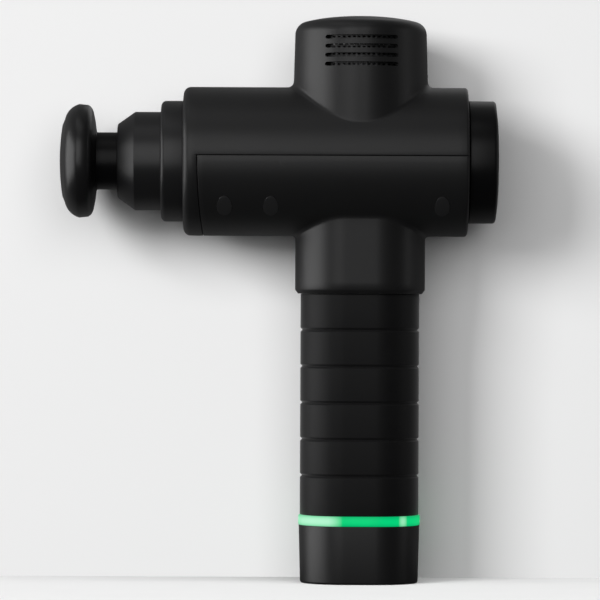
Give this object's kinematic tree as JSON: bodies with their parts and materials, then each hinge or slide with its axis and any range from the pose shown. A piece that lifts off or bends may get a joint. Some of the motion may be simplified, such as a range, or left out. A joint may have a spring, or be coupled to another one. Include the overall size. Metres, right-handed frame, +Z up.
{
  "type": "massage gun",
  "caption": "Upright percussion massage gun: horizontal cylindrical body, flat massage head, motor dome, rear dial and rubber handle with a lit ring.",
  "frame": {"origin": "centre of the base cap's flat bottom face, on the handle's axis", "axes": "+Z up the handle; the body lies along X with the massage head towards -X and the dial towards +X"},
  "size_m": [0.1805, 0.0614, 0.2336],
  "materials": {
    "shell_plastic": "fine moulded texture, soft satin black",
    "collar_plastic": "smooth satin dark grey",
    "grip_rubber": "soft-touch matte rubber",
    "dial_plastic": "satin black",
    "head_plastic": "dense satin plastic",
    "stem_plastic": "satin black",
    "black_rubber": "matte rubber",
    "light_diffuser": "translucent green, lit",
    "lens_plastic": "clear light pipe",
    "screen_mesh": "perforated, painted black",
    "inner_plastic": "moulded, plain",
    "holder_plastic": "moulded, natural",
    "circuit_board": "green solder mask",
    "cell_wrap": "shrink-wrapped cell",
    "nickel_strip": "bare nickel",
    "cast_alloy": "die cast",
    "bearing_steel": "ground steel",
    "dark_steel": "black oxide steel",
    "laminated_steel": "laminated sheet",
    "magnet": "nickel-plated magnet",
    "bronze": "sintered bronze",
    "copper_wire": "enamelled winding",
    "hard_alloy": "hard anodised alloy",
    "wire_jacket": "insulated wire",
    "yellow_jacket": "insulated wire",
    "led": "small lamp"
  },
  "bodies": {
    "housing": {"upper_shell": "shell_plastic", "lower_shell": "shell_plastic", "collar_ring": "collar_plastic", "nose_cone": "collar_plastic", "nose_seal": "black_rubber", "vent_screens": "screen_mesh", "grip_sleeve": "grip_rubber", "handle_tube": "inner_plastic", "light_ring": "light_diffuser", "light_board": "circuit_board", "light_leds": "led", "base_cap": "shell_plastic", "base_screws": "dark_steel", "charge_socket": "inner_plastic", "battery_board": "circuit_board", "battery_cells": "cell_wrap", "cell_holders": "holder_plastic", "cell_straps": "nickel_strip", "battery_leads": "wire_jacket", "drive_frame": "cast_alloy", "guide_bushes": "bronze", "frame_dampers": "black_rubber", "motor_base": "cast_alloy", "motor_bearings": "bearing_steel", "motor_core": "laminated_steel", "motor_windings": "copper_wire", "motor_screws": "dark_steel", "motor_leads": "yellow_jacket", "dial_hub": "dial_plastic", "hub_screws": "dark_steel", "speed_lights": "lens_plastic", "control_board": "circuit_board", "button_switch": "inner_plastic", "driver_board": "circuit_board", "board_screws": "dark_steel", "shell_screws": "dark_steel", "screw_plugs": "collar_plastic"},
    "crank": {"rotor_can": "dark_steel", "rotor_magnets": "magnet", "motor_axle": "bearing_steel", "cooling_fan": "inner_plastic", "crank_disc": "bearing_steel", "crank_pin": "bearing_steel", "roller_clip": "dark_steel"},
    "roller": {"pin_roller": "bearing_steel"},
    "shaft": {"drive_shaft": "hard_alloy", "shaft_yoke": "hard_alloy"},
    "massage_head": {"head_stem": "stem_plastic", "head_pad": "head_plastic", "head_o_rings": "black_rubber"},
    "dial": {"dial_ring": "dial_plastic", "encoder_ring": "magnet"},
    "button": {"power_button": "collar_plastic"}
  },
  "joints": [
    {"name": "crank_turn", "type": "hinge", "parent": "housing", "child": "crank", "pos_m": [0, 0, 0.18], "axis": [0, 0, 1], "range_deg": [-90.2, 90.2]},
    {"name": "roller_spin", "type": "hinge", "parent": "crank", "child": "roller", "pos_m": [0, 0.007, 0.1736], "axis": [0, 0, 1], "continuous": true},
    {"name": "shaft_stroke", "type": "slide", "parent": "housing", "child": "shaft", "axis": [-1, 0, 0], "range_m": [-0.007, 0.007]},
    {"name": "head_pull_off", "type": "slide", "parent": "shaft", "child": "massage_head", "axis": [-1, 0, 0], "range_m": [0, 0.035]},
    {"name": "dial_turn", "type": "hinge", "parent": "housing", "child": "dial", "pos_m": [0.05, 0, 0.1736], "axis": [1, 0, 0], "continuous": true},
    {"name": "button_press", "type": "slide", "parent": "housing", "child": "button", "axis": [-1, 0, 0], "range_m": [0, 0.0008], "stiffness_N_per_m": 2000}
  ],
  "couplings": [
    {"joint": "crank_turn", "follows": "shaft_stroke", "rad_per_m": 224.4}
  ]
}
